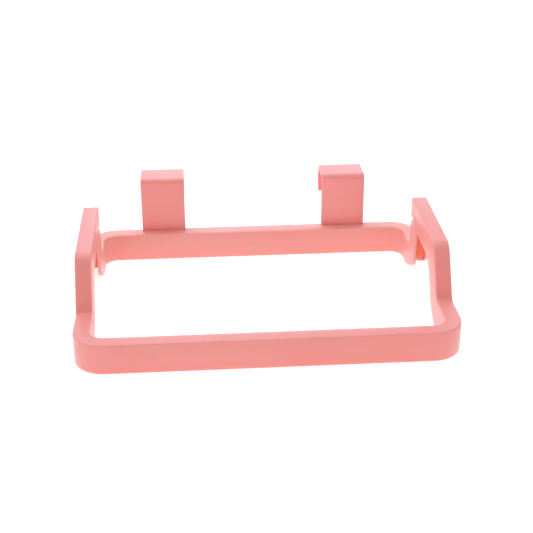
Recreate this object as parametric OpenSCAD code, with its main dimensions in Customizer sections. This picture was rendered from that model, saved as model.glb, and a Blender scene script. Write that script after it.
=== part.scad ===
// Over-the-door bag holder: a rounded rectangular ring with raised side arms and two door hooks.
// X runs across the door, Y runs from the front bar towards the door, Z is up.
// The origin is the middle of the back bar's rear face, which lies against the door. The sizes
// below count heights from the ring's underside, and placed() moves each node to that origin.

/* [Ring] */
// Width of the ring
overall_w = 220; // [190:5:250]
// Depth from the door face to the front of the loop
overall_d = 162; // [150:2:190]
// Height of the front bar, the back bar and the wings
bar_h = 18; // [17:0.5:20]
// Width of the loop's bars, seen from above
loop_t = 9.5; // [9:0.25:11]
// Depth of the back bar, seen from above
back_t = 10.5; // [9.5:0.5:13]
// Thickness of the moulded skins
skin = 2; // [1.8:0.1:2.2]
// Outer radius of the four corners, seen from above
corner_r = 18; // [14:1:22]

/* [Side arms] */
// Distance from the front of the loop to the foot of the riser
riser_foot = 38.5; // [34:0.5:44]
// How far the riser leans back on its way up
riser_lean = 16.3; // [12:0.5:20]
// Height of the arm's top above the ring's top, where the riser ends
arm_rise = 29.7; // [28:0.5:32]
// Further climb of the arm's top from the riser to the ear
arm_climb = 3.3; // [2:0.1:4]
// Height of the arm
arm_h = 16; // [14:0.5:17]
// Distance from the door face to the rear end of the arm
ear_y = 39.6; // [38:0.2:44]

/* [Hinge] */
// Length of the hinge posts, from front to rear
post_len = 14.4; // [14:0.1:16]
// Height of the hinge posts above the ring's underside
post_top = 38; // [37:0.5:39]
// Height of the posts' front wall's lower edge above the ring's underside
web_low_z = 14.5; // [13:0.5:17]
// Radius of the pin's shaft
pin_r = 2.5; // [2:0.1:2.6]
// Radial running clearance of the pin in the knuckle
pin_play = 0.08; // [0.04:0.01:0.1]
// Side clearance between the knuckle and each cheek
side_play = 0.15; // [0.1:0.01:0.2]
// How far the pin goes into the inner cheek
blind_depth = 1.2; // [0.8:0.1:1.4]

/* [Door hooks] */
// Width of each hook
hook_w = 29; // [22:1:34]
// Distance between the middles of the two hooks
hook_pitch = 122; // [100:1:130]
// Thickness of the hook strap
hook_t = 2.5; // [2:0.1:3]
// Door thickness that the hook takes
door_gap = 19; // [16:0.5:24]
// Height of the hook's top above the ring's top
hook_rise = 36; // [32:0.5:40]
// Length of the lip behind the door, with the plate
lip_len = 19; // [14:0.5:22]

/* [Hidden] */
$fn = 96;

eps = 0.01;
lap = 1;                                 // overlap of stretches that run on in line, overrun of cutters
arc_steps = 14;                          // facets along each soft bend
front_y = -overall_d;
half_w = overall_w / 2;
arm_inner_x = half_w - loop_t;

// Hinge axis, posts and knuckles. A cheek is the wing's own side skin, carried up round the pin.
cheek_x = arm_inner_x + skin;
outer_cheek_x = half_w - skin;
knuckle_x = cheek_x + side_play;
knuckle_end_x = outer_cheek_x - side_play;
head_r = post_len / 2;
post_front_y = -ear_y - post_len;
pivot_y = -ear_y - head_r;
pivot_z = post_top - head_r;
knuckle_r = pin_r + skin;
sweep_play = 0.3;                        // gap between a cheek's rounded head and the arm above it
ear_solid = 6;                           // how far the arm is solid in front of the post
solid_front_y = post_front_y - ear_solid;
arm_top_at_ear = bar_h + arm_rise + arm_climb;
web_t = 1.2;
web_inset = 1.2;                         // how far the front wall lies behind the cheeks' front edges
stop_gap = 0.1;                          // gap between the front wall's top edge and the arm above it
wing_roof_y = -ear_y - 2 * skin;         // where the wing's top skin ends, between the cheeks
pin_head_r = 4.2;
pin_head_t = 1;

// Side view of the wing's underside and the post's front edge, from the corner of the ring upwards
inner_bend_y = -ear_y + 6.6;
outer_bend_y = inner_bend_y + 6;         // the outer plate starts to rise nearer the door
post_slope = 0.45;                       // rise per length of the underside below the post
post_low_radii = [36, 6];
function post_low_line(bend_y) = [
    [-corner_r - lap / 2, 0],
    [bend_y, 0],
    [post_front_y, post_slope * (bend_y - post_front_y)],
    [post_front_y, pivot_z - head_r]
];
post_head_line = [
    [post_front_y, pivot_z],
    [post_front_y, post_top],
    [-ear_y, post_top],
    [-ear_y, bar_h]
];
head_flat = 0.2;                         // short flat between the two bends of the head
post_head_r = head_r - head_flat / 2;

// Side view of the loop: corner points of the top line, in Y and Z
riser_y = front_y + riser_foot;
top_line = [
    [front_y + corner_r + lap, bar_h],
    [riser_y, bar_h],
    [riser_y + riser_lean, bar_h + arm_rise],
    [-ear_y, arm_top_at_ear]
];
top_radii = [5, 10];

// The same for the underside, found from the bar height below the riser and the arm height above it
riser_low = shifted(top_line[1], top_line[2], bar_h);
riser_high = shifted(top_line[2], top_line[1], -bar_h);
arm_low_front = top_line[2] - [0, arm_h];
arm_low_rear = top_line[3] - [0, arm_h];
under_line = [
    [front_y + corner_r + lap, 0],
    meet(riser_low, riser_high, [0, 0], [1, 0]),
    meet(riser_low, riser_high, arm_low_front, arm_low_rear),
    arm_low_rear
];
under_radii = [24, 18];

// Side view of a hook, from the foot over the door to the lip
hook_foot_z = 4;
hook_top_z = bar_h + hook_rise;
hook_bend_r = 1;                         // inner radius of the strap's bends
hook_outer_r = hook_bend_r + hook_t;
hook_outer_line = [
    [-hook_t, hook_foot_z],
    [-hook_t, hook_top_z],
    [door_gap + hook_t, hook_top_z],
    [door_gap + hook_t, hook_top_z - lip_len]
];
hook_inner_line = [
    [0, hook_foot_z],
    [0, hook_top_z - hook_t],
    [door_gap, hook_top_z - hook_t],
    [door_gap, hook_top_z - lip_len]
];
flange_extra = 4;                        // how far the hook's foot flange stands out each side
flange_t = 2;
seat_play = 0.05;                        // clearance of the hook's foot in its seat

// Helpers for outlines made of straight lines joined by soft bends
function unit(v) = v / norm(v);
function right_of(v) = [v[1], -v[0]];
function reversed(list) = [for (i = [len(list) - 1 : -1 : 0]) list[i]];
// Point a moved by d to the right of the direction from a to b
function shifted(a, b, d) = a + d * right_of(unit(b - a));
function cross2(a, b) = a[0] * b[1] - a[1] * b[0];
// Crossing of the line a-b with the line c-d
function meet(a, b, c, d) = a + (b - a) * cross2(c - a, d - c) / cross2(b - a, d - c);
// Arc of radius r that rounds corner b of the path a-b-c
function bend(a, b, c, r) =
    let (
        u = unit(b - a),
        v = unit(c - b),
        turn = asin(cross2(u, v)),
        side = sign(turn),
        reach = r * tan(abs(turn) / 2),
        centre = b - reach * u - side * r * right_of(u),
        from = atan2(u[1], u[0])
    )
    [for (i = [0 : arc_steps])
        let (heading = from + turn * i / arc_steps)
        centre + side * r * [sin(heading), -cos(heading)]];
// Four-point line with its two inner corners rounded
function soft_line(p, radii) = concat(
    [p[0]],
    bend(p[0], p[1], p[2], radii[0]),
    bend(p[1], p[2], p[3], radii[1]),
    [p[3]]
);
// The same four corners moved d to the right of the line's run
function inset_line(p, d) = [
    shifted(p[0], p[1], d),
    meet(shifted(p[0], p[1], d), shifted(p[1], p[0], -d), shifted(p[1], p[2], d), shifted(p[2], p[1], -d)),
    meet(shifted(p[1], p[2], d), shifted(p[2], p[1], -d), shifted(p[2], p[3], d), shifted(p[3], p[2], -d)),
    shifted(p[3], p[2], -d)
];

// Extrudes a Y-Z outline along X, from x0 to x1
module along_x(x0, x1) {
    translate([x0, 0, 0])
        rotate([90, 0, 90])
            linear_extrude(height = x1 - x0)
                children();
}

// Box from its lowest to its highest corner
module block(low, high) {
    translate(low)
        cube(high - low);
}

// Both sides: the child shape and its mirror image
module both_sides() {
    children();
    mirror([1, 0, 0])
        children();
}

// Moves a node from the level of the ring's underside to the origin at the bar's mid-height
module placed() {
    translate([0, 0, -bar_h / 2])
        children();
}

// Slab with two rounded corners at its y = 0 side, reaching to y = depth
module rounded_slab(width, depth, r) {
    intersection() {
        translate([-width / 2, 0])
            square([width, depth]);
        union() {
            translate([-width / 2, r])
                square([width, depth]);
            translate([-width / 2 + r, 0])
                square([width - 2 * r, depth]);
            for (side = [-1, 1])
                translate([side * (width / 2 - r), r])
                    circle(r = r);
        }
    }
}

// U seen from above, with its bar at y = 0 and its legs reaching to y = depth
module u_plan(width, depth, bar, leg, r_out, r_in) {
    difference() {
        rounded_slab(width, depth, r_out);
        translate([0, bar])
            rounded_slab(width - 2 * leg, depth, r_in);
    }
}

// Upside-down channel with the plan of a U
module u_channel(width, depth, bar, leg, r_out, r_in) {
    difference() {
        linear_extrude(height = bar_h)
            u_plan(width, depth, bar, leg, r_out, r_in);
        translate([0, skin, -eps])
            linear_extrude(height = bar_h - skin + eps)
                u_plan(width - 2 * skin, depth, bar - 2 * skin, leg - 2 * skin, r_out - skin, r_in + skin);
    }
}

// Side view of the arm, from the corner of the loop up to the ear
module arm_profile() {
    polygon(concat(soft_line(top_line, top_radii), reversed(soft_line(under_line, under_radii))));
}

// Side view of the hollow under the arm's top skin; it runs out through the open underside
module arm_hollow_profile() {
    roof = inset_line(top_line, skin);
    below = inset_line(under_line, skin);
    intersection() {
        polygon(concat(
            soft_line(roof, [top_radii[0] + skin, top_radii[1] - skin]),
            reversed(soft_line(below, [under_radii[0] + skin, under_radii[1] - skin]))
        ));
        translate([front_y, -skin])
            square([solid_front_y - front_y, hook_top_z + skin]);
    }
}

// Side view of what a cheek sweeps past in the arm while the loop folds
module cheek_sweep_profile() {
    sweep_r = head_r + sweep_play;
    translate([pivot_y, pivot_z]) {
        circle(r = sweep_r);
        translate([0, -sweep_r])
            square([ear_y, 2 * sweep_r]);
    }
}

module right_arm() {
    difference() {
        along_x(arm_inner_x, half_w)
            arm_profile();
        along_x(arm_inner_x + skin, half_w - skin)
            arm_hollow_profile();
        along_x(arm_inner_x - lap, knuckle_x)
            cheek_sweep_profile();
        along_x(knuckle_end_x, half_w + lap)
            cheek_sweep_profile();
        pin_bore();
    }
    knuckle();
}

// Running bore for the hinge pin
module pin_bore() {
    translate([arm_inner_x, pivot_y, pivot_z])
        rotate([0, 90, 0])
            cylinder(r = pin_r + pin_play, h = loop_t);
}

// Side view of the knuckle: a disc round the pin and its neck up into the arm
module knuckle_profile() {
    translate([pivot_y, pivot_z]) {
        circle(r = knuckle_r);
        translate([-knuckle_r, 0])
            square([2 * knuckle_r, arm_top_at_ear - arm_h - pivot_z + skin]);
    }
}

module knuckle() {
    difference() {
        along_x(knuckle_x, knuckle_end_x)
            knuckle_profile();
        pin_bore();
    }
}

module front_loop() {
    color("pink") placed() {
        translate([0, front_y, 0])
            u_channel(overall_w, corner_r + 2 * lap, loop_t, loop_t, corner_r, corner_r - loop_t);
        both_sides()
            right_arm();
    }
}

// Side view of a wing and its post: one plate from the corner of the ring up to the rounded head
module post_profile(bend_y) {
    polygon(concat(
        soft_line(post_low_line(bend_y), post_low_radii),
        soft_line(post_head_line, [post_head_r, post_head_r]),
        [[-corner_r - lap / 2, bar_h]]
    ));
}

// Front wall between the cheeks; the arm rests on its top edge
module post_web() {
    web_y = post_front_y + web_inset;
    web_top = meet(arm_low_front, arm_low_rear, [web_y, 0], [web_y, 1])[1] - stop_gap;
    block(
        [cheek_x - skin / 2, web_y, web_low_z],
        [outer_cheek_x + skin / 2, web_y + web_t, web_top]
    );
}

module right_wing() {
    pin_seat_x = cheek_x - blind_depth;
    difference() {
        union() {
            along_x(arm_inner_x, cheek_x)
                post_profile(inner_bend_y);
            along_x(outer_cheek_x, half_w)
                post_profile(outer_bend_y);
            block([arm_inner_x, wing_roof_y, bar_h - skin], [half_w, -corner_r - lap / 2, bar_h]);
            post_web();
        }
        translate([pin_seat_x, pivot_y, pivot_z])
            rotate([0, 90, 0])
                cylinder(r = pin_r, h = loop_t);
        translate([half_w - pin_head_t, pivot_y, pivot_z])
            rotate([0, 90, 0])
                cylinder(r = pin_head_r, h = pin_head_t + lap);
    }
}

// Notch for a hook's strap in the rear skin and the top skin of the back bar
module hook_notch(x) {
    block(
        [x - hook_w / 2 - seat_play, -hook_t - seat_play, hook_foot_z - seat_play],
        [x + hook_w / 2 + seat_play, lap, bar_h + lap]
    );
}

module back_frame() {
    color("lightpink") placed()
        difference() {
            union() {
                mirror([0, 1, 0])
                    u_channel(
                        overall_w, corner_r + lap,
                        back_t, loop_t,
                        corner_r, corner_r - loop_t
                    );
                both_sides()
                    right_wing();
            }
            for (side = [-1, 1])
                hook_notch(side * hook_pitch / 2);
        }
}

// J-shaped strap; its foot flange bears against the rear skin, under the top skin of the back bar
module door_hook(x) {
    flange_y = -hook_t - flange_t;
    translate([x, 0, 0]) {
        along_x(-hook_w / 2, hook_w / 2)
            polygon(concat(
                soft_line(hook_outer_line, [hook_outer_r, hook_outer_r]),
                reversed(soft_line(hook_inner_line, [hook_bend_r, hook_bend_r]))
            ));
        block(
            [-hook_w / 2 - flange_extra, flange_y, hook_foot_z],
            [hook_w / 2 + flange_extra, -hook_t - seat_play, bar_h - skin - seat_play]
        );
        block(
            [-hook_w / 2, flange_y, hook_foot_z],
            [hook_w / 2, -hook_t + eps, bar_h - skin - seat_play]
        );
    }
}

module door_hook_left() {
    color("hotpink") placed()
        door_hook(-hook_pitch / 2);
}

module door_hook_right() {
    color("hotpink") placed()
        door_hook(hook_pitch / 2);
}

// Pin on the right side, pushed in from outside; its head lies flush in the outer cheek
module right_pin() {
    tip_x = cheek_x - blind_depth;
    head_x = half_w - pin_head_t;
    translate([tip_x, pivot_y, pivot_z])
        rotate([0, 90, 0])
            cylinder(r = pin_r, h = head_x + pin_head_t / 2 - tip_x);
    translate([head_x, pivot_y, pivot_z])
        rotate([0, 90, 0])
            cylinder(r = pin_head_r, h = pin_head_t);
}

module hinge_pin_left() {
    color("palevioletred") placed()
        mirror([1, 0, 0])
            right_pin();
}

module hinge_pin_right() {
    color("palevioletred") placed()
        right_pin();
}

back_frame();
front_loop();
door_hook_left();
door_hook_right();
hinge_pin_left();
hinge_pin_right();
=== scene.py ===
import math

import bmesh
import bpy
from mathutils import Matrix, Vector


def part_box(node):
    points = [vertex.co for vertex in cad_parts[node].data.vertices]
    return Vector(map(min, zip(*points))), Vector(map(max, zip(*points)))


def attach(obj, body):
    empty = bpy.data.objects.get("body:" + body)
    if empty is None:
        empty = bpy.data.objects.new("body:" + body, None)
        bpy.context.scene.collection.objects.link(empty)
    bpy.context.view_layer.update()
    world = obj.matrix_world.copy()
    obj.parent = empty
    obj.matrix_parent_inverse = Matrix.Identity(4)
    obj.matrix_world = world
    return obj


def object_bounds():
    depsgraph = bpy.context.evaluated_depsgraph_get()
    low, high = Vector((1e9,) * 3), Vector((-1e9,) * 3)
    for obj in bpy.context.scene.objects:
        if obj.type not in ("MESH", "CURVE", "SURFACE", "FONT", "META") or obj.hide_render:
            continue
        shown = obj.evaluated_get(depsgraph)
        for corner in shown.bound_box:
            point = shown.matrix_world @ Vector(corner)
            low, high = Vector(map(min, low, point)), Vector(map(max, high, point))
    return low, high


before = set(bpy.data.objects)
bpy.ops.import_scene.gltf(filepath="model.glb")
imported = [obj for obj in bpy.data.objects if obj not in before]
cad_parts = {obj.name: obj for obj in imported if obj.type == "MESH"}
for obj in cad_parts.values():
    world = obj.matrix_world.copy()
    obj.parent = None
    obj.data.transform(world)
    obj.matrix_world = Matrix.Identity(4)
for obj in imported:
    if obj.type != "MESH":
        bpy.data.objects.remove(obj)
cad_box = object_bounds()

MM = 0.001
middle = (cad_box[0] + cad_box[1]) / 2


# ---------------------------------------------------------------- materials

def new_material(name):
    """An empty node material, ready for links."""
    material = bpy.data.materials.new(name)
    material.use_nodes = True
    material.node_tree.nodes.clear()
    return material, material.node_tree


def add(tree, kind, inputs=None, **settings):
    """Adds a node, sets its properties and fills its inputs with values or links."""
    node = tree.nodes.new(kind)
    for key, value in settings.items():
        setattr(node, key, value)
    for key, value in (inputs or {}).items():
        if isinstance(value, bpy.types.NodeSocket):
            tree.links.new(value, node.inputs[key])
        else:
            node.inputs[key].default_value = value
    return node


def noise(tree, place, seed, scale, detail, roughness=0.5):
    """The value of a seeded noise field; scale is in cells per metre."""
    return add(tree, "ShaderNodeTexNoise", {
        "Vector": place, "W": seed, "Scale": scale, "Detail": detail, "Roughness": roughness,
    }, noise_dimensions="4D").outputs["Fac"]


def remap(tree, value, low, high, to_low=0.0, to_high=1.0):
    """Maps low..high to to_low..to_high and holds the ends."""
    return add(tree, "ShaderNodeMapRange", {
        "Value": value, "From Min": low, "From Max": high, "To Min": to_low, "To Max": to_high,
    }).outputs["Result"]


def mix(tree, factor, first, second):
    """Blends two colours."""
    return add(tree, "ShaderNodeMix", {"Factor": factor, "A": first, "B": second},
               data_type="RGBA").outputs["Result"]


def times(tree, first, second):
    """Product of two values."""
    return add(tree, "ShaderNodeMath", {0: first, 1: second}, operation="MULTIPLY").outputs["Value"]


def srgb(red, green, blue):
    """A colour given in 0..255 display values, as the linear RGBA that Blender uses."""
    def linear(value):
        value /= 255
        return value / 12.92 if value <= 0.04045 else ((value + 0.055) / 1.055) ** 2.4
    return (linear(red), linear(green), linear(blue), 1)


def edge_mask(tree, radius):
    """1 on rounded or sharp outer edges and 0 on flats, from the turn of a bevelled normal."""
    flat_cosine, edge_cosine = 0.99, 0.82
    bevel = add(tree, "ShaderNodeBevel", {"Radius": radius}, samples=4).outputs["Normal"]
    normal = add(tree, "ShaderNodeNewGeometry").outputs["Normal"]
    turn = add(tree, "ShaderNodeVectorMath", {0: bevel, 1: normal}, operation="DOT_PRODUCT")
    return remap(tree, turn.outputs["Value"], flat_cosine, edge_cosine)


def painted_hollow_shade_mask(tree, reach):
    """1 deep in hollows and close corners, where painted shade turns the plastic saturated orange,
    standing in for light that has passed through the plastic many times.
    """
    open_share, closed_share = 0.75, 0.2
    open_sky = add(tree, "ShaderNodeAmbientOcclusion", {"Distance": reach}, samples=8,
                   only_local=True).outputs["AO"]
    return remap(tree, open_sky, open_share, closed_share)


def painted_web_shade_mask(tree, place):
    """1 on the thin front walls of the hinge posts, where painted shade gives them the saturated orange
    of walls deep in shade under the arms.
    """
    low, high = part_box("back_frame")
    pin_low, pin_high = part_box("hinge_pin_right")
    # The pin's head reaches the outer face of its cheek, so its middle lies outside the wall's.
    wall_middle = (pin_low.x + pin_high.x) / 2 - 0.4 * MM
    wall_half_width = 2.9 * MM
    mask_front, mask_rear = low.y + 2.5 * MM, low.y + 3 * MM
    shade_depth, shade_strength = 12 * MM, 0.35
    axes = add(tree, "ShaderNodeSeparateXYZ", {"Vector": place})
    across = add(tree, "ShaderNodeMath", {0: axes.outputs["X"]}, operation="ABSOLUTE").outputs["Value"]
    between_cheeks = add(tree, "ShaderNodeMath", {0: across, 1: wall_middle, 2: wall_half_width},
                         operation="COMPARE").outputs["Value"]
    at_front = remap(tree, axes.outputs["Y"], mask_rear, mask_front)
    below_arm = remap(tree, axes.outputs["Z"], high.z, high.z - shade_depth, shade_strength, 1)
    return times(tree, times(tree, between_cheeks, at_front), below_arm)


def moulded_plastic(name, base, deep, roughness, seed, painted_web_shade=False):
    """Satin translucent moulding: soft colour drift, fine moulded grain and scuffs, with a painted
    highlight on the outer edges, painted shade in hollows and, when asked, painted shade on the posts'
    front walls.
    """
    edge_width = 0.9 * MM
    hollow_shade_reach, hollow_shade_strength = 14 * MM, 0.85
    material, tree = new_material(name)
    place = add(tree, "ShaderNodeNewGeometry").outputs["Position"]
    drift = noise(tree, place, seed, 14, 3)
    streaks = add(tree, "ShaderNodeMapping", {"Vector": place, "Scale": (0.25, 1, 3)}).outputs["Vector"]
    flow = noise(tree, streaks, seed + 1, 60, 4)
    grain = noise(tree, place, seed + 3, 2600, 2)
    scuffs = noise(tree, place, seed + 7, 420, 6, 0.7)
    tone = mix(tree, remap(tree, drift, 0.35, 0.65), base, deep)
    tone = mix(tree, remap(tree, flow, 0.4, 0.7, 0, 0.35), tone, deep)
    # Painted highlight: a pale colour on the outer edges, made patchy by the scuff noise.
    edge_highlight = times(tree, edge_mask(tree, edge_width), remap(tree, scuffs, 0.35, 0.6, 0.1, 0.6))
    colour = mix(tree, edge_highlight, tone, EDGE_HIGHLIGHT)
    # Painted shade: hollows and close corners turn saturated orange.
    colour = mix(tree, times(tree, painted_hollow_shade_mask(tree, hollow_shade_reach), hollow_shade_strength), colour, PAINTED_SHADE_ORANGE)
    # Painted shade: the posts' front walls under the arms turn saturated orange.
    if painted_web_shade:
        colour = mix(tree, painted_web_shade_mask(tree, place), colour, PAINTED_SHADE_ORANGE)
    rough = remap(tree, scuffs, 0.3, 0.7, roughness - 0.05, roughness + 0.07)
    relief = add(tree, "ShaderNodeBump", {"Height": grain, "Strength": 0.15, "Distance": 0.05 * MM})
    relief = add(tree, "ShaderNodeBump", {"Height": scuffs, "Strength": 0.08, "Distance": 0.1 * MM,
                                          "Normal": relief.outputs["Normal"]})
    shader = add(tree, "ShaderNodeBsdfPrincipled", {
        "Base Color": colour,
        "Roughness": rough,
        "IOR": 1.42,
        "Subsurface Weight": 0.6,
        "Subsurface Radius": (1.0, 0.4, 0.3),
        "Subsurface Scale": 2.5 * MM,
        "Coat Weight": 0.1,
        "Coat Roughness": 0.22,
        "Normal": relief.outputs["Normal"],
    })
    add(tree, "ShaderNodeOutputMaterial", {"Surface": shader.outputs["BSDF"]})
    return material


def floor_paint():
    """Plain light table: a grey sheet that glows white, so that it shows almost no shadow."""
    material, tree = new_material("pale_floor")
    place = add(tree, "ShaderNodeNewGeometry").outputs["Position"]
    colour = mix(tree, noise(tree, place, 5, 6, 2), srgb(186, 186, 186), srgb(192, 192, 192))
    shader = add(tree, "ShaderNodeBsdfPrincipled", {
        "Base Color": colour,
        "Roughness": 0.9,
        "Specular IOR Level": 0.2,
        "Emission Color": (1, 1, 1, 1),
        "Emission Strength": 0.8,
    })
    add(tree, "ShaderNodeOutputMaterial", {"Surface": shader.outputs["BSDF"]})
    return material


# Painted highlight colour for the outer edges, and painted shade colour, a saturated orange, for
# hollows and the posts' front walls
EDGE_HIGHLIGHT = srgb(253, 196, 192)
PAINTED_SHADE_ORANGE = srgb(255, 120, 82)

loop_pink = moulded_plastic("loop_pink", srgb(254, 162, 154), srgb(253, 156, 148), 0.34, 1)
# Painted light: the frame's base is paler than the loop's, standing in for the brighter light on the
# back bar.
frame_pink_lit = moulded_plastic("frame_pink_lit", srgb(255, 171, 162), srgb(254, 165, 155), 0.36, 20,
                             painted_web_shade=True)
hook_pink = moulded_plastic("hook_pink", srgb(248, 166, 160), srgb(246, 159, 153), 0.32, 40)
gate_pink = moulded_plastic("gate_pink", srgb(255, 184, 174), srgb(255, 176, 166), 0.42, 80)
pin_pink = moulded_plastic("pin_pink", srgb(251, 160, 153), srgb(249, 152, 146), 0.28, 60)

# Paint and edge radius of each CAD node. The front walls of the posts lie only 1.2 mm behind the
# cheeks' front edges, so the back frame's radius stays under half of that.
NODE_FINISH = {
    "front_loop": (loop_pink, 0.7 * MM),
    "back_frame": (frame_pink_lit, 0.55 * MM),
    "door_hook_left": (hook_pink, 0.7 * MM),
    "door_hook_right": (hook_pink, 0.7 * MM),
    "hinge_pin_left": (pin_pink, 0.3 * MM),
    "hinge_pin_right": (pin_pink, 0.3 * MM),
}


# ---------------------------------------------------------------- the CAD nodes

def soften(node, radius):
    """Cleans the tessellation and rounds the sharp edges as a mould would."""
    weld = node.modifiers.new("weld", "WELD")
    weld.merge_threshold = 0.004 * MM
    flat = node.modifiers.new("flat", "DECIMATE")
    flat.decimate_type = "DISSOLVE"
    flat.angle_limit = math.radians(0.6)
    soft = node.modifiers.new("soft", "BEVEL")
    soft.width = radius
    soft.segments = 3
    soft.limit_method = "ANGLE"
    soft.angle_limit = math.radians(28)
    soft.use_clamp_overlap = False
    soft.harden_normals = True
    soft.miter_outer = "MITER_ARC"
    for polygon in node.data.polygons:
        polygon.use_smooth = True


for name, (paint, edge_radius) in NODE_FINISH.items():
    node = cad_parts[name]
    node.data.materials.clear()
    node.data.materials.append(paint)
    soften(node, edge_radius)


# ---------------------------------------------------------------- moulding detail

def make_gate_mark(name, place, radius, rise):
    """The low crowned button that is left where the plastic entered the mould, facing -Y."""
    rings = 7
    steps = 32
    flat_share = 0.45
    dimple_share = 0.6
    mesh = bpy.data.meshes.new(name)
    build = bmesh.new()
    loops = []
    for ring in range(rings):
        turn = ring / (rings - 1) * math.pi / 2
        size = radius * (flat_share + (1 - flat_share) * math.cos(turn))
        height = rise * math.sin(turn)
        loops.append([build.verts.new((size * math.cos(2 * math.pi * step / steps), -height,
                                       size * math.sin(2 * math.pi * step / steps)))
                      for step in range(steps)])
    root = [build.verts.new((vert.co.x, rise, vert.co.z)) for vert in loops[0]]
    for lower, upper in zip([root] + loops, loops):
        for step in range(steps):
            after = (step + 1) % steps
            build.faces.new((lower[step], lower[after], upper[after], upper[step]))
    dimple = build.verts.new((0, -dimple_share * rise, 0))
    for step in range(steps):
        build.faces.new((loops[-1][step], loops[-1][(step + 1) % steps], dimple))
    build.faces.new(root)
    bmesh.ops.recalc_face_normals(build, faces=build.faces)
    for face in build.faces:
        face.smooth = True
    build.to_mesh(mesh)
    build.free()
    mark = bpy.data.objects.new(name, mesh)
    mark.location = place
    mark.data.materials.append(gate_pink)
    bpy.context.scene.collection.objects.link(mark)
    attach(mark, "back")


# The back bar's depth is the one size that the boxes of the CAD nodes don't give.
BAR_DEPTH = 10.5 * MM
GATE_LEVEL = -0.5 * MM
make_gate_mark("gate_mark", (0, -BAR_DEPTH, GATE_LEVEL), radius=1.5 * MM, rise=0.35 * MM)


# ---------------------------------------------------------------- stage

def make_floor():
    """A large pale sheet just under the ring."""
    gap = 0.2 * MM
    mesh = bpy.data.meshes.new("floor")
    build = bmesh.new()
    bmesh.ops.create_grid(build, x_segments=8, y_segments=8, size=3)
    build.to_mesh(mesh)
    build.free()
    floor = bpy.data.objects.new("floor", mesh)
    floor.location = (0, 0, cad_box[0].z - gap)
    floor.data.materials.append(floor_paint())
    bpy.context.scene.collection.objects.link(floor)


def make_light(name, place, aim, size, power, colour):
    """A square soft box that faces a point."""
    data = bpy.data.lights.new(name, "AREA")
    data.size = size
    data.energy = power
    data.color = colour
    light = bpy.data.objects.new(name, data)
    light.location = place
    light.rotation_mode = "QUATERNION"
    light.rotation_quaternion = (Vector(aim) - Vector(place)).to_track_quat("-Z", "Y")
    bpy.context.scene.collection.objects.link(light)


def make_camera():
    """The photograph's viewpoint: a little left of the middle, in front and 25 degrees up."""
    eye = Vector((-37.96, -674.6, 292.9)) * MM
    pitch, yaw, roll = math.radians(-24.99), math.radians(-3.97), math.radians(-0.29)
    data = bpy.data.cameras.new("camera")
    data.sensor_width = 36
    data.lens = 72
    camera = bpy.data.objects.new("camera", data)
    turn = (Matrix.Rotation(yaw, 4, "Z") @ Matrix.Rotation(math.pi / 2 + pitch, 4, "X")
            @ Matrix.Rotation(roll, 4, "Z"))
    camera.matrix_world = Matrix.Translation(eye) @ turn
    bpy.context.scene.collection.objects.link(camera)
    bpy.context.scene.camera = camera


def make_sky():
    """White surroundings: a bright backdrop behind the holder, dimmer towards the photographer."""
    backdrop = (-0.15, 0.89, 0.42)
    dimmest, brightest = 0.63, 1.65
    far_left_share, far_right_share = 0.75, 0.5
    near_tint, backdrop_tint = (0.99, 1, 1, 1), (0.9, 0.98, 1.12, 1)
    world = bpy.data.worlds.new("studio")
    world.use_nodes = True
    tree = world.node_tree
    direction = add(tree, "ShaderNodeTexCoord").outputs["Generated"]
    toward_backdrop = add(tree, "ShaderNodeVectorMath", {0: direction, 1: backdrop},
                          operation="DOT_PRODUCT").outputs["Value"]
    glow = remap(tree, toward_backdrop, 0, 1)
    strength = remap(tree, times(tree, glow, glow), 0, 1, dimmest, brightest)
    across = add(tree, "ShaderNodeSeparateXYZ", {"Vector": direction}).outputs["X"]
    strength = times(tree, strength, remap(tree, across, 0.1, 1, 1, far_right_share))
    strength = times(tree, strength, remap(tree, across, -1, -0.1, far_left_share, 1))
    tint = mix(tree, glow, near_tint, backdrop_tint)
    tree.links.new(tint, tree.nodes["Background"].inputs["Color"])
    tree.links.new(strength, tree.nodes["Background"].inputs["Strength"])
    bpy.context.scene.world = world


make_floor()
make_camera()
make_sky()
make_light("top_softbox", (-0.2, 0.25, 1.2), middle, size=1.2, power=4.5, colour=(1, 0.98, 0.99))
bpy.context.scene.view_settings.view_transform = "Standard"
